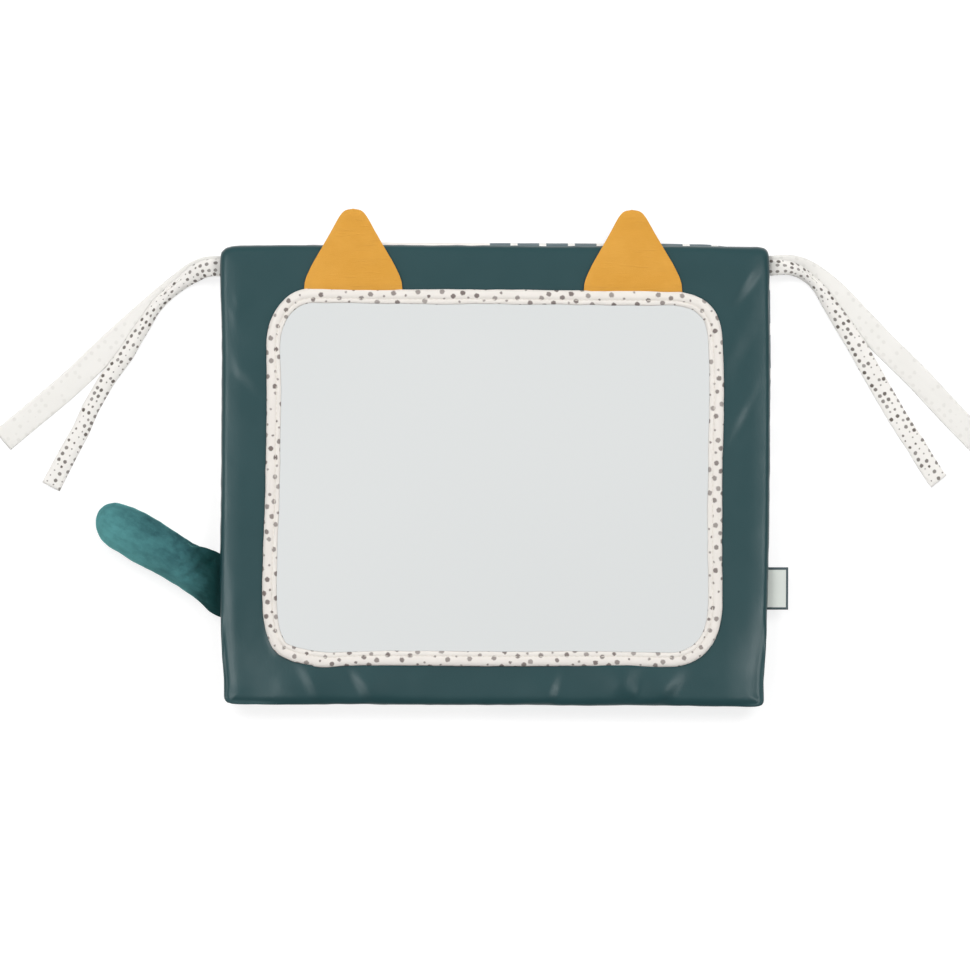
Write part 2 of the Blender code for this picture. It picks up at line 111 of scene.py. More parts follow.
# Routes of the tie tapes, repeated from part.py
TIE_SIDES = {"left": (-0.1625, -1), "right": (0.1669, 1)}
TIE_TOP_Y = 0.1378
TIE_WIDTH = 0.012
PALE_WIDTH = 0.015
TIE_THICKNESS = 0.0009
TIES = {
    "tie_left_plain": (
        (0.0002, -0.0124, 0.0117), (0.0037, -0.0122, 0.0115), (0.0083, -0.0122, 0.0101),
        (0.0135, -0.0132, 0.0071), (0.0197, -0.0162, 0.0036), (0.027, -0.0215, 0.0013),
        (0.036, -0.0286, 0.0007), (0.0484, -0.0394, 0.0007), (0.0601, -0.0496, 0.0007),
        (0.0756, -0.0638, 0.0007), (0.0916, -0.079, 0.0007), (0.1039, -0.0898, 0.0007),
        (0.115, -0.0989, 0.0007), (0.1261, -0.1081, 0.0007), (0.1361, -0.1165, 0.0007),
    ),
    "tie_left_printed": (
        (0.0002, -0.0132, 0.0131), (0.0043, -0.013, 0.0131), (0.0093, -0.0133, 0.0118),
        (0.0147, -0.0149, 0.0088), (0.021, -0.0185, 0.0053), (0.028, -0.0235, 0.0029),
        (0.0365, -0.0308, 0.0021), (0.0433, -0.0378, 0.0021), (0.0537, -0.0525, 0.0021),
        (0.0642, -0.0702, 0.0019), (0.0746, -0.0879, 0.0009), (0.085, -0.1065, 0.0007),
        (0.0955, -0.1255, 0.0007), (0.1061, -0.1456, 0.0007),
    ),
    "tie_right_plain": (
        (0.0002, -0.012, 0.0117), (0.0037, -0.0118, 0.0114), (0.0083, -0.0119, 0.0098),
        (0.0136, -0.0126, 0.0066), (0.0199, -0.015, 0.0032), (0.0266, -0.0192, 0.0012),
        (0.0339, -0.025, 0.0007), (0.043, -0.0334, 0.0007), (0.0557, -0.0457, 0.0007),
        (0.0712, -0.0607, 0.0007), (0.0872, -0.0763, 0.0007), (0.0995, -0.0883, 0.0007),
        (0.1106, -0.0991, 0.0007), (0.1217, -0.1098, 0.0007), (0.131, -0.1188, 0.0007),
    ),
    "tie_right_printed": (
        (0.0002, -0.0131, 0.0131), (0.0041, -0.0129, 0.013), (0.0091, -0.0132, 0.0115),
        (0.0146, -0.0148, 0.0083), (0.0205, -0.0182, 0.0049), (0.0263, -0.023, 0.0028),
        (0.0317, -0.0298, 0.0022), (0.0367, -0.0389, 0.0021), (0.0445, -0.0532, 0.0021),
        (0.0544, -0.0713, 0.0019), (0.0649, -0.0901, 0.0009), (0.0753, -0.1082, 0.0007),
        (0.0861, -0.1255, 0.0007), (0.1005, -0.1433, 0.0007),
    ),
}


# Lines and meshes

CURVE_STEPS = 8
NOISE_STEPS = (7.3, 3.1, 5.7)


def curve(points, closed=False, steps=CURVE_STEPS):
    """Many points on a smooth curve through the given ones."""
    points = np.array(points, float)
    if closed:
        ends = np.vstack([points[-1:], points, points[:2]])
    else:
        ends = np.vstack([2 * points[:1] - points[1:2], points, 2 * points[-1:] - points[-2:-1]])
    t = np.arange(steps)[:, None] / steps
    line = []
    for a, b, c, d in zip(ends, ends[1:], ends[2:], ends[3:]):
        square = 2 * a - 5 * b + 4 * c - d
        cube = 3 * b - a - 3 * c + d
        line.append(b + ((c - a) * t + square * t**2 + cube * t**3) / 2)
    if not closed:
        line.append(points[-1:])
    return np.vstack(line)


def reach(line):
    """How far along a line each of its points is."""
    return np.concatenate([[0], np.cumsum(np.linalg.norm(np.diff(line, axis=0), axis=1))])


def evenly(line, count):
    """The same line as count points at even distances."""
    along = reach(line)
    places = np.linspace(0, along[-1], count)
    return np.column_stack([np.interp(places, along, values) for values in line.T])


def outline(sides):
    """A closed outline through its sides' points, each side resampled to its own count."""
    line = curve([point for side in sides for point in side], closed=True)
    line = np.vstack([line, line[:1]])
    ring, start = [], 0
    for side, count in zip(sides, SIDE_COUNTS):
        end = start + CURVE_STEPS * len(side)
        ring.append(evenly(line[start:end + 1], count + 1)[:-1])
        start = end
    return np.vstack(ring)


def inward(ring):
    """Unit normals of a closed anticlockwise outline, to its inside."""
    along = np.roll(ring, -1, axis=0) - np.roll(ring, 1, axis=0)
    along /= np.linalg.norm(along, axis=1)[:, None]
    return np.column_stack([-along[:, 1], along[:, 0]])


def bumps(places, size, seed):
    """Smooth noise of about -1 to 1 at places, with lumps of about this size."""
    shift = Vector([seed * step for step in NOISE_STEPS])
    return np.array([noise.noise(Vector(place) / size + shift) for place in places])


def lump(*place):
    return noise.noise(Vector(place))


def waves(places, height, size, seed):
    return height * bumps(places, size, seed)


def circle(count):
    """Points round a circle with a radius of 1."""
    turns = (2 * math.pi * k / count for k in range(count))
    return [(math.cos(turn), math.sin(turn)) for turn in turns]


def hill(distance, width):
    """1 where the distance is none, falling to nearly nothing at twice the width."""
    return math.exp(-(distance / width) ** 2)


def ease(value, start, end):
    """0 up to start and 1 from end on, with a smooth step between them."""
    share = np.clip((value - start) / (end - start), 0, 1)
    return share * share * (3 - 2 * share)


def grid_mesh(name, grid, wrap_rows=False, wrap_columns=False, caps=False, uv=None):
    """A mesh over a grid of points. uv has the rows' places and the columns' places, in metres."""
    rows, columns = len(grid), len(grid[0])
    data = bmesh.new()
    verts = [[data.verts.new(point) for point in row] for row in grid]
    layer = data.loops.layers.uv.new("UVMap") if uv is not None else None
    for i in range(rows if wrap_rows else rows - 1):
        for j in range(columns if wrap_columns else columns - 1):
            corners = ((i, j), (i, j + 1), (i + 1, j + 1), (i + 1, j))
            face = data.faces.new([verts[a % rows][b % columns] for a, b in corners])
            if layer:
                for loop, (a, b) in zip(face.loops, corners):
                    loop[layer].uv = (uv[0][a], uv[1][b])
    if caps:
        for row in (verts[0], verts[-1]):
            data.faces.new(row)
    return finished(name, data)


def placed(name, data):
    """The object that shows a mesh, a lamp or a camera in the scene."""
    made = bpy.data.objects.new(name, data)
    bpy.context.scene.collection.objects.link(made)
    return made


def finished(name, data):
    """The object that a bmesh becomes, with its faces looking outwards."""
    bmesh.ops.recalc_face_normals(data, faces=data.faces)
    if data.calc_volume(signed=True) < 0:
        bmesh.ops.reverse_faces(data, faces=data.faces)
    mesh = bpy.data.meshes.new(name)
    data.to_mesh(mesh)
    data.free()
    mesh.shade_smooth()
    made = placed(name, mesh)
    remember_places(made)
    return made


def mesh_points(mesh):
    places = np.zeros(len(mesh.vertices) * 3, np.float32)
    mesh.vertices.foreach_get("co", places)
    return places.reshape(-1, 3)


def remember_places(made):
    """Keeps each point's place at rest for the materials, so that a pattern stays on the cloth."""
    kept = made.data.attributes
    stored = kept.get("rest_place") or kept.new("rest_place", "FLOAT_VECTOR", "POINT")
    stored.data.foreach_set("vector", mesh_points(made.data).ravel())


# Materials

# Repeat and height of the threads
COTTON_WEAVE = (0.0006, 0.00005)
TAPE_WEAVE = (0.0005, 0.00004)

# How far in a side of the tail the painted light on its lower side reaches, where along x the painted light
# towards its tip is brightest, and where the painted shade at its root lies
LIGHT_PAINT_ACROSS = (0.013, -0.014)
LIGHT_PAINT_ALONG = (-0.192, -0.238)
ROOT_SHADE_ALONG = (-0.190, -0.170)
ROOT_MIDDLE = (-0.1639, -0.0672)
PILE_AND_LIGHT_SHARES = (0.22, 0.14, 0.37, 0.34)

# The printed dashes: half their repeat, where a row starts, their soft ends, and where the cream cloth ends
DASH_HALF_STEP = 0.0086
DASH_START = 0.0058
DASH_ENDS = (0.0023, 0.0019)
DASH_SOFTNESS = 0.02
CREAM_ENDS = (-0.0033, -0.0029)

# Where the label's dark rim starts, from its middle line and along x
RIM_ACROSS = (0.0112, 0.0114)
RIM_ALONG = (0.1752, 0.1754)


class Nodes:
    """A node tree while it is being made."""

    def __init__(self, owner):
        owner.use_nodes = True
        self.tree = owner.node_tree

    def put(self, socket, value):
        if isinstance(value, bpy.types.NodeSocket):
            self.tree.links.new(value, socket)
        else:
            socket.default_value = value

    def node(self, kind, inputs, **settings):
        made = self.tree.nodes.new("ShaderNode" + kind)
        for label, value in settings.items():
            setattr(made, label, value)
        for label, value in inputs.items():
            self.put(made.inputs[label], value)
        return made

    def add(self, kind, inputs, output=0, **settings):
        return self.node(kind, inputs, **settings).outputs[output]


class Look(Nodes):
    """A procedural material while it is being made."""

    def __init__(self, name, roughness=0.8, specular=0.5, metallic=0.0, **sockets):
        self.material = bpy.data.materials.new(name)
        super().__init__(self.material)
        self.shader = self.tree.nodes["Principled BSDF"]
        self.set("Roughness", roughness)
        self.set("Specular IOR Level", specular)
        self.set("Metallic", metallic)
        for label, value in sockets.items():
            self.set(label.replace("_", " "), value)

    def set(self, label, value):
        self.put(self.shader.inputs[label], value)

    def place(self):
        """Where a point is at rest."""
        return self.add("Attribute", {}, "Vector", attribute_name="rest_place")

    def own_place(self):
        """The same for a CAD node, whose mesh stays as it is."""
        return self.add("TexCoord", {}, "Object")

    def flat_place(self):
        return self.add("UVMap", {}, "UV", uv_map="UVMap")

    def parts(self, place):
        """A place's x, y and z."""
        return self.node("SeparateXYZ", {0: place}).outputs

    def noise(self, place, scale, detail=2.0, roughness=0.5):
        inputs = {"Vector": place, "Scale": scale, "Detail": detail, "Roughness": roughness}
        return self.add("TexNoise", inputs, "Fac")

    def remap(self, value, low, high, to_low=0.0, to_high=1.0, smooth=True):
        inputs = {"Value": value, "From Min": low, "From Max": high, "To Min": to_low, "To Max": to_high}
        return self.add("MapRange", inputs, interpolation_type="SMOOTHSTEP" if smooth else "LINEAR")

    def math(self, operation, first, second=0.0):
        return self.add("Math", {0: first, 1: second}, operation=operation)

    def mix(self, share, first, second):
        return self.add("Mix", {0: share, 6: first, 7: second}, 2, data_type="RGBA")

    def stretch(self, place, scale, turn=0.0):
        return self.add("Mapping", {"Vector": place, "Scale": scale, "Rotation": (0, 0, turn)})

    def bump(self, height, distance):
        inputs = {"Height": height, "Distance": distance, "Strength": 1.0}
        if self.shader.inputs["Normal"].is_linked:
            inputs["Normal"] = self.shader.inputs["Normal"].links[0].from_socket
        self.set("Normal", self.add("Bump", inputs, "Normal"))

    def weave(self, place, pitch, distance):
        """Raised threads over and under, with a repeat of this pitch."""
        x, y, _ = self.parts(place)
        turns = 2 * math.pi / pitch
        across = self.math("SINE", self.math("MULTIPLY", x, turns))
        along = self.math("SINE", self.math("MULTIPLY", y, turns))
        self.bump(self.math("MULTIPLY", across, along), distance)


def rgb(*levels):
    """A colour from its screen values, each of them over 10."""
    return (*(((level / 255 + 0.055) / 1.055) ** 2.4 for level in levels), 1)


def coated_look():
    look = Look("coated_fabric", specular=0.3)
    place = look.place()
    patches = look.noise(place, 18, 3)
    look.set("Base Color", look.mix(patches, (0.0095, 0.0425, 0.0475, 1), (0.0130, 0.0490, 0.0545, 1)))
    look.set("Roughness", look.remap(look.noise(place, 60, 3), 0.3, 0.7, 0.32, 0.38))
    look.bump(look.noise(place, 1400, 2), 0.00004)
    return look.material


def cotton_look(name, colour, other, place_of=Look.place, creases=0.0):
    """Woven cotton. creases is the height of fine lines across it."""
    look = Look(name, roughness=0.9, specular=0.2, Sheen_Weight=0.15)
    place = place_of(look)
    patches = look.remap(look.noise(place, 45, 4), 0.3, 0.7)
    threads = look.noise(look.stretch(place, (300, 2600, 300)), 1, 1)
    shade = look.math("MULTIPLY", look.math("ADD", patches, threads), 0.5)
    look.set("Base Color", look.mix(shade, colour, other))
    look.weave(place, *COTTON_WEAVE)
    if creases:
        lines = look.noise(look.stretch(place, (75, 520, 75)), 1, 1)
        look.bump(look.remap(lines, 0.58, 0.74), creases)
    return look.material


def dotted_look(name, base, other, dot, pitch, low, high, turn=0.0):
    """Printed cloth with dots of unlike sizes, whose radii are low to high as shares of the pitch."""
    look = Look(name, roughness=0.92, specular=0.2, Sheen_Weight=0.1)
    flat = look.flat_place()
    scaled = look.stretch(flat, (1 / pitch, 1 / pitch, 1), turn)
    inputs = {"Vector": scaled, "Scale": 1, "Randomness": 0.45}
    cells = look.node("TexVoronoi", inputs, voronoi_dimensions="2D").outputs
    tint = look.node("SeparateColor", {0: cells["Color"]}).outputs
    radius = look.remap(tint[0], 0.3, 0.55, low, high)
    wobble = look.math("MULTIPLY", look.math("SUBTRACT", look.noise(scaled, 5, 1), 0.5), 0.16)
    distance = look.math("ADD", cells["Distance"], wobble)
    inside = look.remap(look.math("SUBTRACT", radius, distance), -0.06, 0.06)
    ground = look.mix(look.noise(look.place(), 60, 3), base, other)
    ink = look.math("MULTIPLY", inside, look.remap(tint[1], 0, 1, 0.7, 1.0, smooth=False))
    look.set("Base Color", look.mix(ink, ground, dot))
    look.weave(flat, *TAPE_WEAVE)
    return look.material


def velour_look():
    """Velour with random streaks and nap, painted light on the tail's lower side and tip, and painted shade
    towards its root.
    """
    look = Look("velour", roughness=0.85, specular=0.15, Sheen_Weight=0.7, Sheen_Roughness=0.35,
                Sheen_Tint=rgb(120, 200, 196))
    place = look.place()
    along_tail = look.stretch(look.stretch(place, (1, 1, 1), math.radians(29.9)), (45, 105, 105))
    streaks = look.remap(look.noise(along_tail, 1, 4, 0.65), 0.32, 0.68)
    nap = look.remap(look.noise(place, 150, 4, 0.65), 0.35, 0.65)
    x, y, _ = look.parts(place)
    across = look.math("ADD", look.math("MULTIPLY", x, TAIL_DIRECTION.y),
                       look.math("MULTIPLY", y, -TAIL_DIRECTION.x))
    middle = ROOT_MIDDLE[0] * TAIL_DIRECTION.y - ROOT_MIDDLE[1] * TAIL_DIRECTION.x
    # Painted light: the tail's lower side is made lighter where light falls on it
    painted_lower_light = look.remap(across, *(middle + side for side in LIGHT_PAINT_ACROSS))
    shade = 0.0
    # Random streaks and nap, mixed with painted light on the lower side and towards the tip
    for value, share in zip((streaks, nap, painted_lower_light, look.remap(x, *LIGHT_PAINT_ALONG)), PILE_AND_LIGHT_SHARES):
        shade = look.math("ADD", look.math("MULTIPLY", value, share), shade)
    pile_with_painted_light = look.mix(shade, rgb(22, 54, 62), rgb(86, 148, 149))
    # Painted shade at the root, where the panel shades the tail, with a ragged edge from the streaks
    ragged_shade_start = look.math("ADD", x, look.math("MULTIPLY", look.math("SUBTRACT", streaks, 0.5), 0.008))
    look.set("Base Color", look.mix(look.remap(ragged_shade_start, *ROOT_SHADE_ALONG), pile_with_painted_light, rgb(13, 50, 50)))
    look.bump(look.noise(place, 1500, 3), 0.00015)
    look.bump(look.noise(place, 120, 3), 0.0005)
    return look.material


def print_look(name, row_axis, row_start, row_height, dash_share):
    """Cream cloth on the left and slate cloth with rows of pale dashes on the right."""
    look = Look(name, roughness=0.9, specular=0.2, Sheen_Weight=0.1)
    place = look.place()
    parts = look.parts(place)
    across = parts[0]
    rows = look.math("DIVIDE", look.math("SUBTRACT", parts[row_axis], row_start), row_height)
    shift = look.math("MULTIPLY", look.math("PINGPONG", look.math("FLOOR", rows), 1), DASH_HALF_STEP)
    along_row = look.math("ADD", look.math("ADD", across, DASH_START), shift)
    in_step = look.math("PINGPONG", along_row, DASH_HALF_STEP)
    in_row = look.math("ABSOLUTE", look.math("SUBTRACT", look.math("FRACT", rows), 0.5))
    dash = look.math("MULTIPLY", look.remap(in_step, *DASH_ENDS),
                     look.remap(in_row, dash_share / 2 + DASH_SOFTNESS, dash_share / 2 - DASH_SOFTNESS))
    slate = look.mix(look.noise(place, 50, 3), rgb(86, 103, 109), rgb(99, 115, 120))
    cream = look.mix(look.noise(place, 50, 3), rgb(238, 233, 226), rgb(245, 241, 236))
    printed = look.mix(dash, slate, rgb(240, 238, 233))
    look.set("Base Color", look.mix(look.remap(across, *CREAM_ENDS), cream, printed))
    look.weave(place, *COTTON_WEAVE)
    return look.material


def mirror_look():
    look = Look("mirror", roughness=0.03, metallic=1.0)
    patches = look.noise(look.own_place(), 6, 1)
    look.set("Base Color", look.mix(patches, (0.765, 0.783, 0.78, 1), (0.735, 0.755, 0.755, 1)))
    return look.material


def thread_look():
    look = Look("thread", roughness=0.7, specular=0.3, Sheen_Weight=0.1)
    place = look.place()
    look.set("Base Color", look.mix(look.noise(place, 700, 2), rgb(206, 199, 190), rgb(228, 221, 212)))
    look.bump(look.noise(look.stretch(place, (1, 1, 4)), 2500, 1), 0.00003)
    return look.material


def label_look():
    look = Look("label_tape", roughness=0.75, specular=0.3)
    place = look.place()
    x, y, _ = look.parts(place)
    from_middle = look.math("ABSOLUTE", look.math("SUBTRACT", y, LABEL_Y))
    rim = look.math("MAXIMUM", look.remap(from_middle, *RIM_ACROSS), look.remap(x, *RIM_ALONG))
    look.set("Base Color", look.mix(rim, rgb(210, 215, 209), rgb(74, 88, 92)))
    look.weave(place, *TAPE_WEAVE)
    return look.material


def dress(made, material, body, slot, *nodes):
    """Gives a piece its material and its body, and hides the CAD nodes that it stands for; slot is not used."""
    made.data.materials.clear()
    made.data.materials.append(material)
    if body:
        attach(made, body)
    if nodes:
        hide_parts(*nodes)


# Camera, lights and floor

CAMERA_TARGET = Vector((-0.006, -0.0056, FACE_Z))
CAMERA_DISTANCE = 3.0
CAMERA_TILT = math.radians(3)
SENSOR_WIDTH = 36
VIEW_WIDTH = 0.582
FLOOR_HALF = 6
FLOOR_Z = -0.0003

# The studio in gloss: its darker side, how bright it is from the far side to that one, and the plain light
DARK_SIDE = (0.45, -0.85, 0)
STUDIO_PLACES = (0.02, 0.22, 0.42, 0.75)
STUDIO_LEVELS = (1.0, 0.92, 0.36, 0.25)
PLAIN_LEVEL = 0.52


def camera():
    data = bpy.data.cameras.new("camera")
    data.sensor_width = SENSOR_WIDTH
    data.lens = SENSOR_WIDTH * CAMERA_DISTANCE / VIEW_WIDTH
    data.clip_end = 50
    made = placed("camera", data)
    away = Vector((0, math.sin(CAMERA_TILT), math.cos(CAMERA_TILT)))
    made.location = CAMERA_TARGET + CAMERA_DISTANCE * away
    made.rotation_euler = (-CAMERA_TILT, 0, 0)
    bpy.context.scene.camera = made


def lamp(name, place, size, power, glossy):
    """An area lamp that is seen either as gloss or as plain light."""
    data = bpy.data.lights.new(name, "AREA")
    data.shape = "RECTANGLE"
    data.size, data.size_y = size
    data.energy = power
    made = placed(name, data)
    made.location = place
    made.rotation_euler = (-Vector(place)).to_track_quat("-Z", "Y").to_euler()
    made.visible_camera = False
    made.visible_glossy = glossy
    made.visible_diffuse = not glossy


def floor():
    """A floor that looks white itself and in gloss, and keeps the object's shadow."""
    data = bmesh.new()
    corners = ((-1, -1), (1, -1), (1, 1), (-1, 1))
    data.faces.new([data.verts.new((x * FLOOR_HALF, y * FLOOR_HALF, FLOOR_Z)) for x, y in corners])
    made = finished("floor", data)
    look = Look("floor", roughness=1, specular=0)
    paths = look.node("LightPath", {}).outputs
    seen = look.math("MAXIMUM", paths["Is Camera Ray"], paths["Is Glossy Ray"])
    look.set("Base Color", look.mix(seen, (0.8, 0.8, 0.8, 1), (0.33, 0.33, 0.33, 1)))
    look.set("Emission Color", (1, 1, 1, 1))
    look.set("Emission Strength", look.math("MULTIPLY", seen, 0.745))
    made.data.materials.append(look.material)


def world():
    """White behind the object, plain light on it, and the studio in its gloss."""
    made = bpy.data.worlds.new("studio")
    bpy.context.scene.world = made
    nodes = Nodes(made)
    background = nodes.tree.nodes["Background"].inputs
    paths = nodes.node("LightPath", {}).outputs
    direction = nodes.add("TexCoord", {}, "Generated")
    slope = nodes.add("VectorMath", {0: direction, 1: DARK_SIDE}, "Value", operation="DOT_PRODUCT")
    shade = nodes.node("ValToRGB", {"Fac": slope})
    elements = shade.color_ramp.elements
    elements[0].position, elements[1].position = STUDIO_PLACES[0], STUDIO_PLACES[-1]
    for place in STUDIO_PLACES[1:-1]:
        elements.new(place)
    for element, level in zip(elements, STUDIO_LEVELS):
        element.color = (level, level, level, 1)
    glossy = nodes.add("Mix", {0: paths["Is Glossy Ray"], 2: PLAIN_LEVEL, 3: shade.outputs[0]})
    nodes.put(background["Strength"], nodes.add("Mix", {0: paths["Is Camera Ray"], 2: glossy, 3: 1.0}))
    nodes.put(background["Color"], (1, 1, 1, 1))
    bpy.context.scene.view_settings.view_transform = "Standard"


# Tie tapes

TIE_RINGS = 110
TIE_EDGE_POINTS = 24
IN_SEAM = (0.0026, 0, 0)
ARCH_SHARE = 0.26
CREASE_PLACES = {"left": 0.037, "right": 0.029}
CREASE_DEPTH = 0.0018
CREASE_LENGTH = 0.007
CREASE_SHARE = 0.14
CURL = 0.0003
RUFFLE = 0.00012

# How wide each tape looks at places along its length; the printed ones are crumpled
TIE_WIDTHS = {
    "tie_left_plain": ((0, 0.02, 0.045, 0.06, 0.08), (0.012, 0.0112, 0.0108, 0.013, 0.015)),
    "tie_left_printed": ((0, 0.02, 0.03, 0.04, 0.055, 0.07, 0.09, 0.13, 0.175),
                         (0.0105, 0.0105, 0.0086, 0.0075, 0.0075, 0.009, 0.01, 0.0104, 0.0118)),
    "tie_right_plain": ((0, 0.012, 0.02, 0.03, 0.045), (0.012, 0.0112, 0.0115, 0.0125, 0.015)),
    "tie_right_printed": ((0, 0.012, 0.022, 0.03, 0.038, 0.05, 0.065, 0.09),
                          (0.0098, 0.0086, 0.0072, 0.0067, 0.0076, 0.0094, 0.011, 0.0119)),
}

# How far each tape lies aside from its route at places along its length, to its outer side
TIE_ASIDE = {
    "tie_left_plain": ((0, 0.18), (0, 0)),
    "tie_left_printed": ((0, 0.05, 0.065, 0.085, 0.105, 0.125, 0.14),
                         (0, 0, -0.001, -0.001, 0.0012, 0.0014, 0)),
    "tie_right_plain": ((0, 0.03, 0.05, 0.09, 0.12, 0.15, 0.175),
                        (0, 0.0012, 0.0016, 0, 0, -0.0015, -0.0022)),
    "tie_right_printed": ((0, 0.045, 0.065, 0.08, 0.13, 0.15, 0.172),
                          (0, 0, 0.0018, 0.0028, 0.0034, 0.0042, 0.0016)),
}


def tie(name, route, material):
    """A flat tape that leaves the side seam, bends down and lies on the floor."""
    side, kind = name.split("_")[1:]
    side_x, way = TIE_SIDES[side]
    points = [(side_x + way * outwards, TIE_TOP_Y + y, height) for outwards, y, height in route]
    line = evenly(curve(points), TIE_RINGS)
    if side == "right":
        line = np.vstack([line[:1] - IN_SEAM, line])
    along_line = reach(line)
    directions = np.gradient(line, axis=0)
    directions /= np.linalg.norm(directions, axis=1)[:, None]
    seed = 1 + list(TIES).index(name)
    flat_width = TIE_WIDTH if kind == "printed" else PALE_WIDTH
    grid = []
    for point, direction, along in zip(line, directions, along_line):
        direction = Vector(direction)
        across = direction.cross(UP).normalized()
        up = across.cross(direction).normalized()
        leaving = float(ease(along, 0, 0.02))
        width = float(np.interp(along, *TIE_WIDTHS[name]))
        aside = -way * float(np.interp(along, *TIE_ASIDE[name]))
        if kind == "printed":
            arch = ARCH_SHARE * math.sqrt(TIE_WIDTH ** 2 - width ** 2) * leaving
            centre = Vector(point) + across * aside
        else:
            arch = 0.0
            centre = Vector(point) + across * (aside + way * (width - TIE_WIDTH) / 2)
        crease = CREASE_DEPTH * hill(along - CREASE_PLACES[side], CREASE_LENGTH)
        curl = CURL * lump(along * 40, seed, 0)
        top, under = [], []
        for k in range(TIE_EDGE_POINTS + 1):
            share = 2 * k / TIE_EDGE_POINTS - 1
            lift = arch * (1 - share * share) - crease * hill(share + way * 0.5, CREASE_SHARE) * (arch > 0)
            lift += curl * abs(share) ** 2 * np.sign(share) * 0.5
            lift += RUFFLE * lump(along * 160, share * 2, seed)
            place = centre + across * (width / 2 * share) + up * lift
            top.append(place + up * TIE_THICKNESS * (0.5 - 0.8 * share ** 6))
            under.append(place - up * TIE_THICKNESS * 0.5)
        grid.append(top + under[::-1])
    widths = np.linspace(0, flat_width, TIE_EDGE_POINTS + 1)
    columns = [*widths, *(widths[-1] + TIE_THICKNESS + widths), 2 * (flat_width + TIE_THICKNESS)]
    made = grid_mesh(name + "_tape", grid, wrap_columns=True, caps=True, uv=(along_line, columns))
    dress(made, material, "back_panel", "dotted_tape" if kind == "printed" else "plain_tape", name)


# Panels

GENTLE_WIDTHS = 2.4


class Fold:
    """A soft wrinkle: its crest, its direction in degrees, its length, width and height in millimetres.
    It falls steeply over its width to the right of its direction, and gently to the left."""

    def __init__(self, x, y, turn, length, width, height):
        self.x, self.y, self.turn = x / 1000, y / 1000, math.radians(turn)
        self.length, self.width, self.height = length / 1000, width / 1000, height / 1000

    def at(self, places):
        x, y = places[:, 0] - self.x, places[:, 1] - self.y
        along = x * math.cos(self.turn) + y * math.sin(self.turn)
        left = y * math.cos(self.turn) - x * math.sin(self.turn)
        steep = (1 + np.cos(math.pi * np.clip(-left / self.width, 0, 1))) / 2
        gentle = np.exp(-(left / (GENTLE_WIDTHS * self.width)) ** 2)
        return self.height * np.exp(-(along / self.length) ** 2) * np.where(left > 0, gentle, steep)


FRONT_FOLDS = [Fold(*numbers) for numbers in (
    (-109.2, -122.9, -63, 12, 7.4, 1.5), (-76.8, -125.3, -56, 12.5, 8, 2.0), (31.7, -130.2, 73, 12, 7, 1.45),
    (75, -121, 60, 13, 14, 2.2), (82.5, -130.5, 66, 5, 4, 0.9), (101.2, -127.2, 55, 12.5, 10.5, 2.6),
    (-45, -122, -45, 8, 9, 0.5), (-128, -127, -80, 7, 7, 0.3), (130, -121.5, 85, 9, 8, 0.2),
    (-158, -131.5, -120, 5, 5, 0.7), (149.6, 118.5, 57.6, 13.6, 8, 1.6), (145.2, 36.6, 63.4, 16, 6, 0.8),
    (141.5, 81, 64.7, 20, 13, 1.0), (155, 131.5, 40, 4, 3, 0.4), (-154.4, 105.7, -80, 5, 3, 0.3),
    (-156, 96, -85, 6, 3, 0.3), (-154, 66.7, -80, 8, 3.2, 0.3), (-146.4, 60.6, -47, 11, 8, 0.8),
)]
BACK_FOLDS = [Fold(*numbers) for numbers in (
    (-120, 90, 40, 16, 7, 0.8), (120, -95, 42, 16, 7, 0.9), (118, 96, -42, 18, 7, 0.8),
    (-118, -96, -40, 16, 7, 0.8), (30, -118, 75, 9, 5, 0.9), (-60, 121, 68, 9, 5, 0.9),
)]

# The face's width round the binding, and how far the cover goes on under it, and down
PANEL_MARGIN = 0.027
TUCK = 0.004
UNDER_BINDING = 0.0003
HIDDEN_INSET = 0.030
HELD_DOWN = (0.0265, 0.0300)

# Heights of the cover above its seam at places in from its edge, where it is firm and where it is soft
INSETS = (0.0, 0.0002, 0.0005, 0.0010, 0.0018, 0.0030, 0.0045, 0.0060, 0.0075, 0.0090, 0.0105, 0.0120, 0.0140)
FIRM_HEIGHTS = (0.0050, 0.0072, 0.0087, 0.0101, 0.0111, 0.01163, 0.01186, 0.01202, 0.01217, 0.01230, 0.01241,
                0.01247, 0.0125)
SOFT_HEIGHTS = (0.0050, 0.0073, 0.0088, 0.0099, 0.0106, 0.01110, 0.01158, 0.01197, 0.01225, 0.01240, 0.01246,
                0.01249, 0.0125)
SIDE_WALL = ((0.0016, 0.0), (0.0007, 0.0006), (0.0002, 0.0016), (0.0, 0.0030))
FACE_INSETS = np.linspace(0.0155, 0.0305, 11)
FACE_EDGE = (0.0092, 0.0115)
LOWER_NARROWING = 0.6
LEAST_SOFT = 0.12
SOFT_START = 0.025
SOFT_SLANT = 0.14
SOFT_CORNER_X = 0.16
SOFT_LENGTH = 0.06

# How the face hangs: how far down it starts, then side, depth and span along x of each lower corner
SAG_DOWN = (0.07, 0.12)
SAGS = ((-1, 0.0033, (0.115, 0.160)), (1, 0.0024, (0.136, 0.164)))

# Heights and sizes of the uneven cloth, and the puckers beside a panel's seam
SWELLS = (0.00035, 0.03)
RIPPLES = (0.00008, 0.009)
SIDE_WAVES = (0.0003, 0.035)
PUCKER_SIZE = 0.0075
PUCKER_DEPTH = 0.00028
PUCKER_FADE = 0.02
PUCKER_HEIGHT = 0.003
RESTING_DENT = 0.0004
RESTING_GAP = 0.0001

# The lining's seam allowance, the shares of the way to its middle where it has rings, and its dents
RIM_INSET = 0.0009
FOLD_INSET = 0.0006
LINING_SHARES = (0.012, 0.03, 0.055, 0.09, 0.13, *np.linspace(0.18, 0.98, 14))
LINING_THICKNESS = 0.001
DENT_DEPTH = 0.0003
DENT_SIZE = 0.045
PULL_SIZE = 0.011


def seeded(ring, seed):
    """An outline's points with the seed as their height, for noise."""
    return np.column_stack([ring, np.full(len(ring), float(seed))])


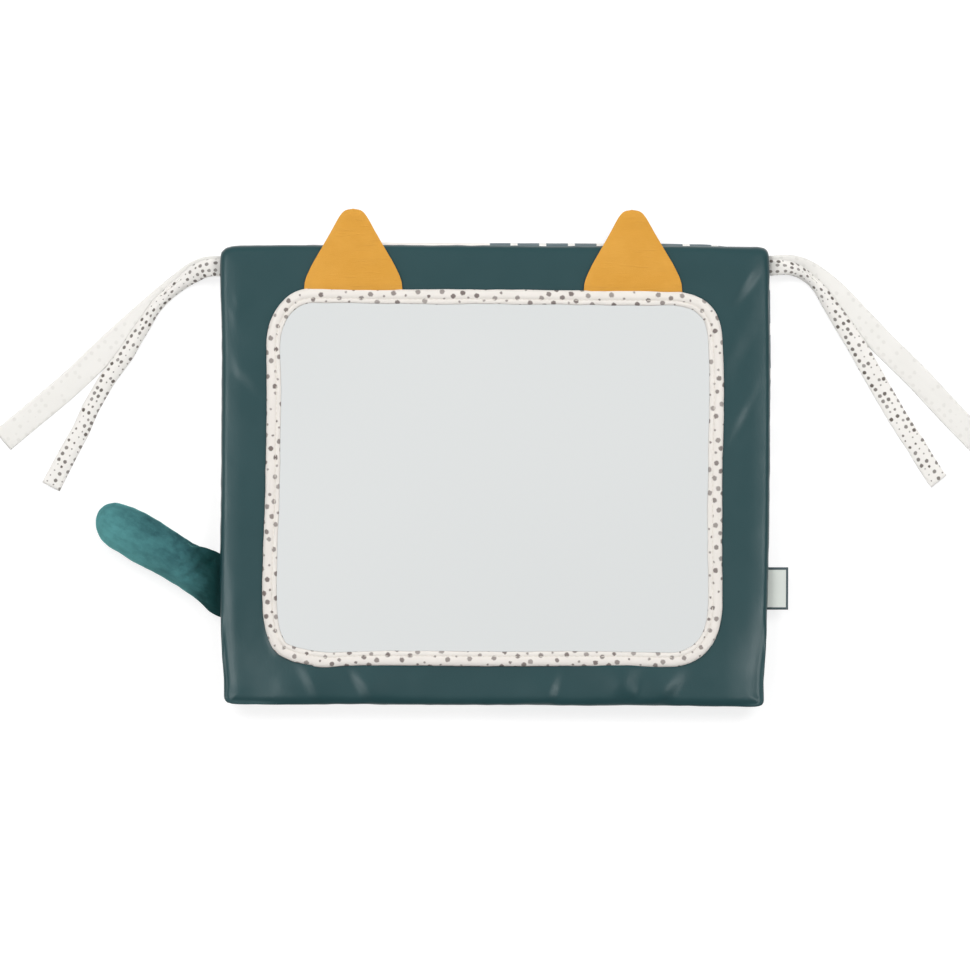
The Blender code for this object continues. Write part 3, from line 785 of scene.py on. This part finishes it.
def shoulder(places, outer):
    """Heights of a panel's face near its edge, softer towards the lower end, with a mitre at each corner."""
    distances = np.array([np.linalg.norm(outer - place, axis=1) for place in places])
    at_lower_end = inward(outer)[distances.argmin(axis=1), 1].clip(0, 1)
    inset = distances.min(axis=1) * (1 + LOWER_NARROWING * at_lower_end)
    start = SOFT_START + SOFT_SLANT * (places[:, 0] + SOFT_CORNER_X)
    soft = LEAST_SOFT + (1 - LEAST_SOFT) * ease(-places[:, 1], start, start + SOFT_LENGTH)
    return (1 - soft) * np.interp(inset, INSETS, FIRM_HEIGHTS) + soft * np.interp(inset, INSETS, SOFT_HEIGHTS)


def sag(places):
    """How far the face hangs towards its lower corners."""
    low = ease(-places[:, 1], *SAG_DOWN)
    return sum(depth * low * ease(side * places[:, 0], *span) for side, depth, span in SAGS)


def panel_cover(name, sides, seam_z, way, folds, seed):
    """A cover pulled over a foam slab: soft shoulders, wrinkles, puckers at the seam.
    way is 1 if its face looks up."""
    outer = outline(sides)
    inner = outline(BINDING_SIDES)
    inner += inward(inner) * TUCK
    grid = []
    rows = [(inset, np.full(len(outer), height)) for inset, height in SIDE_WALL]
    rows += [(inset, None) for inset in np.append(INSETS, FACE_INSETS)]
    for inset, height in rows:
        ring = outer + (inner - outer) * (inset / (PANEL_MARGIN + TUCK))
        if height is None:
            height = shoulder(ring, outer)
        places = seeded(ring, seed)
        on_face = ease(height, *FACE_EDGE)
        on_side = 1 - on_face
        lift = sum(fold.at(ring) for fold in folds)
        lift = lift + waves(places, *SWELLS, seed) + waves(places, *RIPPLES, seed + 1)
        lift = (lift - sag(ring)) * (1 - float(ease(inset, *HELD_DOWN)))
        if way < 0:
            lift = np.minimum(lift - RESTING_DENT, -RESTING_GAP)
        deep = (PUCKER_DEPTH - PUCKER_FADE * abs(height - PUCKER_HEIGHT)).clip(0)
        pucker = bumps(places, PUCKER_SIZE, seed + 2) * deep * on_side
        ring = ring + inward(outer) * (pucker + waves(places, *SIDE_WAVES, seed + 3) * on_side)[:, None]
        height = height + lift * on_face - UNDER_BINDING * (inset > HIDDEN_INSET)
        grid.append(np.column_stack([ring, seam_z + way * height]))
    return grid_mesh(name, grid, wrap_columns=True, caps=True)


def lining(name, sides, hidden_z, shown_z, seed):
    """The plain cloth that closes a panel's inner side, held in at its seam and dented inside it."""
    ring = outline(sides)
    normals = inward(ring)
    rim = ring + normals * RIM_INSET
    centre = rim.mean(axis=0)
    at_rim = bumps(seeded(rim, seed), PULL_SIZE, seed)
    rows = [(rim, hidden_z), (ring + normals * FOLD_INSET, (hidden_z + shown_z) / 2), (rim, shown_z)]
    for share in LINING_SHARES:
        places = rim + (centre - rim) * share
        pulls = at_rim * (1 - share) ** 6
        uneven = 1 + 0.7 * bumps(seeded(places, seed), DENT_SIZE, seed + 4) + 0.6 * pulls
        dent = DENT_DEPTH * ease(share, 0, 0.05) * uneven
        rows.append((places, shown_z + (hidden_z - shown_z) * dent / LINING_THICKNESS))
    grid = [np.column_stack([places, np.full(len(places), height)]) for places, height in rows]
    return grid_mesh(name, grid, wrap_columns=True, caps=True)


# Binding round the mirror

BINDING_SECTION = (
    (0.0034, 0.0283), (0.001, 0.0283), (0.0001, 0.0288), (0, 0.0294), (0.0005, 0.0301), (0.0015, 0.0307),
    (0.0027, 0.031), (0.0039, 0.031), (0.0049, 0.0307), (0.0055, 0.0303), (0.0058, 0.03005),
    (0.0061, 0.0303), (0.0068, 0.0305), (0.0076, 0.0304), (0.0083, 0.03), (0.0087, 0.02945),
    (0.008, 0.02935), (0.0034, 0.02935),
)
GROOVE_INSET = 0.0058
TAPE_END = (-0.1088, -0.1143)
FLAP_LENGTH = 0.012

# Where along the section the tape is uneven, the sizes and seeds of its lumps, its slow waves and its lip's,
# and how far lumps, slow waves and the flap at its end move its outer edge and its top
BINDING_TOP = (0.0290, 0.0303)
BINDING_OUTSIDE = (0.0, 0.004)
BINDING_INSIDE = (0.0058, 0.0085)
BINDING_BUMPS = ((0.0085, 11), (0.03, 12), (0.012, 13))
OUTER_MOVES = (0.00022, 0.0002, 0.0005)
TOP_MOVES = (0.00016, 0.0001, 0.0006)
LIP_MOVES = (0.00035, 0.0003)

STITCH_STEP = 0.0031
STITCH_SIDES = 6
STITCH_RADII = (0.00024, 0.0002)
STITCH_LIFT = 0.00022
STITCH_SUNK = 0.00005
STITCH_SHAPE = ((0.08, 0.2), (0.2, 0.8), (0.45, 1.0), (0.7, 0.8), (0.82, 0.2))


def summed(shares, *shapes):
    return sum(share * shape for share, shape in zip(shares, shapes))


def binding():
    """The padded dotted tape round the mirror, with its overlapped end at the lower left."""
    ring = outline(BINDING_SIDES)
    normals = inward(ring)
    along = np.concatenate([reach(ring), [0]])
    along[-1] = along[-2] + np.linalg.norm(ring[0] - ring[-1])
    end = int(np.argmin(np.linalg.norm(ring - np.array(TAPE_END), axis=1)))
    past_end = along[:-1] - along[end]
    flap = np.where(past_end >= 0, np.exp(-(past_end / FLAP_LENGTH) ** 2), 0)
    lumps, slow, lip = (bumps(seeded(ring, 0), size, seed) for size, seed in BINDING_BUMPS)
    grid = []
    for inset, height in BINDING_SECTION:
        outer = (1 - ease(inset, *BINDING_OUTSIDE)) * summed(OUTER_MOVES, lumps, slow, flap)
        inner = ease(inset, *BINDING_INSIDE) * summed(LIP_MOVES, lip, slow)
        lift = ease(height, *BINDING_TOP) * summed(TOP_MOVES, lumps, slow, flap)
        points = ring + normals * (inset - outer + inner)[:, None]
        grid.append(np.column_stack([points, height + lift]))
    section = reach(np.array(BINDING_SECTION + BINDING_SECTION[:1]))
    made = grid_mesh("binding_tape", grid, wrap_rows=True, wrap_columns=True, uv=(section, along))
    groove = [row for row, (inset, height) in zip(grid, BINDING_SECTION) if inset == GROOVE_INSET][0]
    return made, stitches("binding_stitches", groove)


def stitches(name, line):
    """A row of small stitches along a closed line."""
    line = np.vstack([line, line[:1]])
    total = reach(line)[-1]
    places = evenly(line, round(total / STITCH_STEP) + 1)
    data = bmesh.new()
    for start, end in zip(places, places[1:]):
        start, end = Vector(start), Vector(end)
        along = (end - start).normalized()
        across = along.cross(UP)
        rings = []
        for share, size in STITCH_SHAPE:
            centre = start.lerp(end, share) + UP * (STITCH_LIFT * size - STITCH_SUNK)
            wide, high = (radius * size for radius in STITCH_RADII)
            points = (centre + across * (wide * x) + UP * (high * z) for x, z in circle(STITCH_SIDES))
            rings.append([data.verts.new(point) for point in points])
        for a, b in zip(rings, rings[1:]):
            for k in range(STITCH_SIDES):
                after = (k + 1) % STITCH_SIDES
                data.faces.new((a[k], a[after], b[after], b[k]))
        data.faces.new(rings[0])
        data.faces.new(rings[-1])
    return finished(name, data)


# Ears

EAR_HEIGHT = 0.0484
EAR_Z = 0.02955
EAR_ROWS = 44
EAR_COLUMNS = 28
EAR_TUCK = 0.0012
EAR_LEAST_HALF = 0.0004
EAR_EDGE = 0.0004
EAR_PUFF = 0.0008
EAR_SHOULDER = 0.005
EAR_CREASES = 0.0002
EAR_WAVES = 0.0003
EAR_DROOP = 0.0006
EAR_DROOP_FROM = 0.026
SEWN_DEPTH = 0.0008
SEWN_LENGTH = 0.0013

# Heights above the ear's base, and half its width there
EAR_HALF_WIDTHS = (
    (0, 0.0294), (0.0045, 0.029), (0.008, 0.0279), (0.0113, 0.0264), (0.0161, 0.024), (0.0197, 0.0219),
    (0.0233, 0.0198), (0.0264, 0.018), (0.035, 0.0131), (0.04, 0.0104), (0.0425, 0.009), (0.0441, 0.008),
    (0.0458, 0.0067), (0.047, 0.0054), (0.0478, 0.0038), (EAR_HEIGHT, 0),
)


def ear(side, centre_x, base_y, lean, seed, material):
    """Two cloths sewn together and turned, pressed thin at the seam, with faint creases across."""
    grid = []
    for i in range(EAR_ROWS + 1):
        up = -EAR_TUCK + (EAR_HEIGHT + EAR_TUCK) * math.sin(i / EAR_ROWS * math.pi / 2)
        half = max(float(np.interp(max(up, 0), *zip(*EAR_HALF_WIDTHS))), EAR_LEAST_HALF)
        y = base_y + up
        droop = -EAR_DROOP * float(ease(up, EAR_DROOP_FROM, EAR_HEIGHT))
        sewn = SEWN_DEPTH * hill(max(up, 0), SEWN_LENGTH)
        top, under = [], []
        for j in range(EAR_COLUMNS + 1):
            across = -math.cos(math.pi * j / EAR_COLUMNS)
            x = centre_x + lean * up + half * across
            from_edge = min(half * (1 - abs(across)), EAR_HEIGHT - up)
            puff = EAR_EDGE + EAR_PUFF * float(ease(from_edge, 0.0, EAR_SHOULDER))
            crease = EAR_CREASES * lump(x * 45, up * 260, seed)
            wave = EAR_WAVES * lump(x * 40, up * 60, seed + 5)
            top.append((x, y, EAR_Z + max(puff + crease + wave - sewn, -puff * 0.6) + droop))
            under.append((x, y, EAR_Z - puff * 0.8 + droop))
        grid.append(top + under[::-1])
    made = grid_mesh(f"ear_{side}_cloth", grid, wrap_columns=True, caps=True)
    dress(made, material, None, "ochre_cotton", f"ear_{side}_front", f"ear_{side}_film", f"ear_{side}_back")
    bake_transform(made, "mirror_panel", f"ear_{side}",
             start=(centre_x, 0.1111, EAR_Z), end=(centre_x, 0.1150, EAR_Z))


# Spine, tail and label

SPINE_SECTION = (
    (-0.0004, 0.0222), (0.0002, 0.0214), (0.0006, 0.0203), (0.0009, 0.0187), (0.0012, 0.0169),
    (0.0013, 0.015), (0.0013, 0.013), (0.0012, 0.011), (0.0008, 0.0088), (0.0004, 0.0068), (0, 0.0052),
    (-0.0009, 0.0044),
)
SPINE_HALF = 0.15
SPINE_ROWS = 161
SPINE_END = 0.007
SPINE_CLOTH = 0.0005
SPINE_WAVES = 0.00022

# Where along x the strip comes out past the panels, from each of its ends
BULGE_LEFT = (-0.098, -0.084)
BULGE_RIGHT = (-0.148, -0.122)


def spine(material):
    """The cloth strip across both panels' upper ends, which folds as the toy opens."""
    edge_x, edge_y = np.array(sorted(PANEL_SIDES[2])).T
    section = curve(SPINE_SECTION, steps=3)
    grid = []
    for x in np.linspace(-SPINE_HALF, SPINE_HALF, SPINE_ROWS):
        edge = float(np.interp(x, edge_x, edge_y))
        bulge = float(ease(x, *BULGE_LEFT) * ease(-x, *BULGE_RIGHT))
        end = float(ease(SPINE_HALF - abs(x), 0, SPINE_END))
        outer, inner = [], []
        for out, height in section:
            out = (out * bulge if out > 0 else out) * end - SPINE_CLOTH * (1 - bulge)
            out += SPINE_WAVES * lump(x * 55, height * 90, 3)
            outer.append((x, edge + out, height))
            inner.append((x, edge + out - SPINE_CLOTH, height))
        grid.append(outer + inner[::-1])
    made = grid_mesh("spine_strip", grid, wrap_columns=True, caps=True)
    dress(made, material, None, "printed_cotton", "hinge_spine")
    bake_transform(made, "back_panel", "mirror_panel",
             start=(0, SPINE_Y, FOLD_Z - 0.0025), end=(0, SPINE_Y, FOLD_Z + 0.0025))


TAIL_DIRECTION = Vector((-0.867, 0.498, 0)).normalized()
TAIL_Z = 0.0127
TAIL_ROOT_Z = 0.0147
TAIL_TOP = (
    (-0.1639, -0.0479), (-0.1672, -0.0464), (-0.1719, -0.0444), (-0.1779, -0.0424), (-0.1839, -0.0395),
    (-0.19, -0.036), (-0.196, -0.032), (-0.202, -0.028), (-0.2081, -0.0244), (-0.2141, -0.0213),
    (-0.2201, -0.0187), (-0.2255, -0.0171), (-0.2295, -0.0166), (-0.233, -0.0172), (-0.236, -0.0187),
    (-0.2384, -0.0211), (-0.2399, -0.0243),
)
TAIL_BOTTOM = (
    (-0.1639, -0.0864), (-0.1678, -0.085), (-0.1725, -0.0819), (-0.1805, -0.0743), (-0.1895, -0.0682),
    (-0.1975, -0.0633), (-0.2055, -0.0588), (-0.213, -0.0552), (-0.2195, -0.0515), (-0.226, -0.0473),
    (-0.231, -0.0444), (-0.2345, -0.0417), (-0.237, -0.0388), (-0.2388, -0.0357), (-0.2399, -0.0325),
    (-0.2404, -0.0298), (-0.2405, -0.0274),
)
TAIL_COLUMNS = 48
TAIL_FILLED = 0.032
TAIL_ROOT_HALF = 0.0008
TAIL_SWELL = 0.0112
TAIL_HALF_WIDTH = 0.0138
TAIL_TIP_FROM = 0.04

# The side seams' depth and width, and the puckers' beside them
SEAM_DRAW = (0.0004, 0.0013)
PUCKERS = (0.0005, 0.005)
SEAM_FROM = (0.008, 0.03)

# Creases across the tail's root: how far along it, how slanted and how deep each is, and their width and ends
ROOT_CREASES = ((0.019, -0.5, 0.0018), (0.026, -0.35, 0.0015), (0.034, 0.4, 0.0008))
ROOT_CREASE_WIDTH = 0.0017
ROOT_CREASE_HALF = 0.012
ROOT_CREASE_END = 0.006
ROOT_CREASE_ASIDE = 0.002
TAIL_LOWEST = 0.0004


def tail(material):
    """The stuffed velour tail, flat at its seam and full towards its round tip."""
    upper, lower = curve(TAIL_TOP, steps=3), curve(TAIL_BOTTOM, steps=3)
    along = reach((upper + lower) / 2)
    grid = []
    for top, bottom, distance in zip(upper, lower, along):
        full = float(ease(distance, 0, TAIL_FILLED))
        half = Vector((*(top - bottom), 0)) / 2
        centre = Vector((*(top + bottom), 0)) / 2 + UP * (TAIL_ROOT_Z + (TAIL_Z - TAIL_ROOT_Z) * full)
        rounding = min(1, half.length / TAIL_HALF_WIDTH) ** 0.9 if distance > TAIL_TIP_FROM else 1
        height = (TAIL_ROOT_HALF + TAIL_SWELL * full) * rounding
        grid.append([centre + half * x + UP * (height * z) for x, z in circle(TAIL_COLUMNS)])
    made = grid_mesh("tail_velour", grid, wrap_columns=True, caps=True)
    swell(made, upper, lower, pinned_x=-0.1672, pressure=4, extra=0.05, cap=0.0016)
    seam_puckers(made, upper, lower)
    remember_places(made)
    dress(made, material, None, "velour", "tail_cover", "tail_stuffing")
    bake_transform(made, "mirror_panel", "tail", start=(-0.1632, -0.0663, 0.0147), end=(-0.1700, -0.0663, 0.0147))


def swell(made, upper, lower, pinned_x, pressure, extra, cap):
    """Cloth simulation of a stuffed cover that is sewn down where x is above pinned_x and held at its sides.
    extra is the cloth's spare length as a share, and cap is how far a point may move."""
    before = mesh_points(made.data)
    pinned = made.vertex_groups.new(name="pinned")
    pinned.add([i for i, point in enumerate(before) if point[0] > pinned_x], 1.0, "REPLACE")
    cloth = made.modifiers.new("cloth", "CLOTH")
    settings = cloth.settings
    settings.quality = 6
    settings.vertex_group_mass = "pinned"
    settings.use_pressure = True
    settings.uniform_pressure_force = pressure
    settings.shrink_min = -extra
    settings.effector_weights.gravity = 0
    scene = bpy.context.scene
    for step in range(1, 21):
        scene.frame_set(step)
    after = mesh_points(made.evaluated_get(bpy.context.evaluated_depsgraph_get()).data)
    moves = after - before
    lengths = np.maximum(np.linalg.norm(moves, axis=1), 1e-9)
    places = before + moves * np.minimum(1, cap / lengths)[:, None]
    for ring, top, bottom in zip(places.reshape(len(upper), -1, 3), upper, lower):
        middle, half = (top + bottom) / 2, (top - bottom) / 2
        spans = (ring[:, :2] - middle) @ half / (half @ half)
        wanted = 2 * (spans - spans.min()) / (spans.max() - spans.min()) - 1
        ring[:, :2] += np.outer(wanted - spans, half)
    made.modifiers.clear()
    made.vertex_groups.clear()
    scene.frame_set(1)
    made.data.vertices.foreach_set("co", places.astype(np.float32).ravel())
    subdivision = made.modifiers.new("subdivision", "SUBSURF")
    subdivision.levels = subdivision.render_levels = 1
    mesh = bpy.data.meshes.new_from_object(made.evaluated_get(bpy.context.evaluated_depsgraph_get()))
    made.modifiers.clear()
    made.data = mesh
    mesh.shade_smooth()


def seam_puckers(made, upper, lower):
    """Draws the tail's two side seams in, and puckers the cloth beside them."""
    places = mesh_points(made.data)
    centres, halves = (upper + lower) / 2, (upper - lower) / 2
    along = reach(centres)
    for i, place in enumerate(places):
        near = int(np.argmin(np.linalg.norm(centres - place[:2], axis=1)))
        away = place[:2] - centres[near]
        level = abs(place[2] - TAIL_Z)
        from_root = np.linalg.norm(centres[near] - centres[0])
        at_seam = hill(level, SEAM_DRAW[1]) * float(ease(from_root, *SEAM_FROM))
        pucker = lump(place[0] * 190, place[1] * 190, 9 if away @ halves[near] > 0 else 2)
        draw = SEAM_DRAW[0] * at_seam + PUCKERS[0] * hill(level, PUCKERS[1]) * pucker
        places[i][:2] -= away / max(np.linalg.norm(away), 1e-6) * draw
        if place[2] > TAIL_Z:
            lateral = away @ halves[near] / np.linalg.norm(halves[near])
            from_end = ROOT_CREASE_HALF - abs(lateral - ROOT_CREASE_ASIDE)
            for start, slant, depth in ROOT_CREASES:
                crease = depth * hill(along[near] - start - slant * lateral, ROOT_CREASE_WIDTH)
                places[i][2] -= crease * float(ease(from_end, 0, ROOT_CREASE_END))
        places[i][2] = max(places[i][2], TAIL_LOWEST)
    made.data.vertices.foreach_set("co", places.ravel())
    made.data.update()


LABEL_Y = -0.0684
LABEL_Z = 0.01535
LABEL_ROOT_X = 0.1636
LABEL_LENGTH = 0.0134
LABEL_HALF_HEIGHT = 0.0128
LABEL_CLOTH = 0.00045
LABEL_GAP = 0.00035
LABEL_FLAT = LABEL_LENGTH - 0.001
LABEL_FOLD = 0.0007
LABEL_FOLD_SHARE = 0.0003
LABEL_WAVE = 0.00035
LABEL_STEPS = 10
FOLD_STEPS = 6
LABEL_ROWS = 16


def label(material):
    """A plain woven loop label: a folded ribbon with its fold outwards."""
    section = [(i / LABEL_STEPS * LABEL_FLAT, 1) for i in range(LABEL_STEPS + 1)]
    for turn in (math.pi * i / FOLD_STEPS for i in range(1, FOLD_STEPS)):
        section.append((LABEL_FLAT + LABEL_FOLD * math.sin(turn), math.cos(turn)))
    section += [((1 - i / LABEL_STEPS) * LABEL_FLAT, -1) for i in range(LABEL_STEPS + 1)]
    ring = [(x, side * (LABEL_GAP / 2 + LABEL_CLOTH)) for x, side in section]
    ring += [(x - LABEL_FOLD_SHARE, side * LABEL_GAP / 2) for x, side in reversed(section)]
    grid = []
    for i in range(LABEL_ROWS + 1):
        y = LABEL_Y + LABEL_HALF_HEIGHT * (2 * i / LABEL_ROWS - 1)
        wave = LABEL_WAVE * math.sin((y - LABEL_Y) * 190)
        grid.append([(LABEL_ROOT_X + x, y, LABEL_Z + z + wave * (x / LABEL_LENGTH)) for x, z in ring])
    made = grid_mesh("loop_label_ribbon", grid, wrap_columns=True, caps=True)
    dress(made, material, None, "label_tape", "label")
    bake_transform(made, "mirror_panel", "loop_label",
             start=(0.1634, LABEL_Y, LABEL_Z), end=(0.1652, LABEL_Y, LABEL_Z))


camera()

dotted_tie = dotted_look("dotted_tie", rgb(229, 226, 221), rgb(237, 234, 230), rgb(98, 91, 85),
                         0.0041, 0.11, 0.28)
dotted_binding = dotted_look("dotted_binding", rgb(222, 217, 211), rgb(229, 224, 218), rgb(118, 108, 104),
                             0.0063, 0.11, 0.24, 0.5)
plain_tape = dotted_look("plain_tape", rgb(226, 224, 219), rgb(232, 230, 226), rgb(220, 218, 213),
                         0.0052, 0.02, 0.22)
for tie_name, tie_route in TIES.items():
    tie(tie_name, tie_route, dotted_tie if tie_name.endswith("printed") else plain_tape)

coated = coated_look()
printed_cotton = print_look("printed_cotton", 1, 0.0, 0.0135, 0.52)
slate_cotton = cotton_look("lining_cotton", rgb(86, 102, 112), rgb(98, 113, 122))
ochre = cotton_look("ochre_cotton", rgb(204, 146, 55), rgb(215, 158, 69), creases=0.00015)

front = panel_cover("front_panel_cover", PANEL_SIDES, SEAM_Z_FRONT, 1, FRONT_FOLDS, 3)
dress(front, coated, "mirror_panel", "coated_fabric", "front_cover", "front_foam")
back = panel_cover("back_panel_cover", BACK_SIDES, SEAM_Z_BACK, -1, BACK_FOLDS, 7)
dress(back, printed_cotton, "back_panel", "printed_cotton", "back_cover", "back_foam")
front_lining = lining("front_panel_lining", PANEL_SIDES, 0.0152, 0.0142, 1)
dress(front_lining, slate_cotton, "mirror_panel", "lining_fabric", "front_lining")
back_lining = lining("back_panel_lining", BACK_SIDES, 0.0128, 0.0138, 2)
dress(back_lining, slate_cotton, "back_panel", "lining_fabric", "back_lining")

tape, thread = binding()
dress(tape, dotted_binding, "mirror_panel", "dotted_tape", "mirror_binding")
dress(thread, thread_look(), "mirror_panel", "dotted_tape")

board = cotton_look("board", (0.55, 0.52, 0.46, 1), (0.5, 0.47, 0.42, 1), Look.own_place)
for node_name, look in (("mirror_sheet", mirror_look()), ("front_board", board), ("back_board", board)):
    slots = frame["nodes"][node_name].data.materials
    slots.clear()
    slots.append(look)

ear("left", -0.0848, 0.1117, 0.0, 21, ochre)
ear("right", 0.0825, 0.1110, -0.012, 27, ochre)
spine(print_look("spine_cotton", 2, 0.0125, 0.012, 0.64))
tail(velour_look())
label(label_look())

floor()
world()
lamp("key_left", (-0.9, 0.9, 2.2), (0.9, 0.9), 26, False)
lamp("key_right", (0.9, 0.9, 2.2), (0.9, 0.9), 26, False)
lamp("gloss_left", (-1.3, -0.45, 1.9), (1.3, 0.7), 22, True)
lamp("gloss_right", (1.17, -0.45, 1.9), (0.7, 0.7), 14, True)
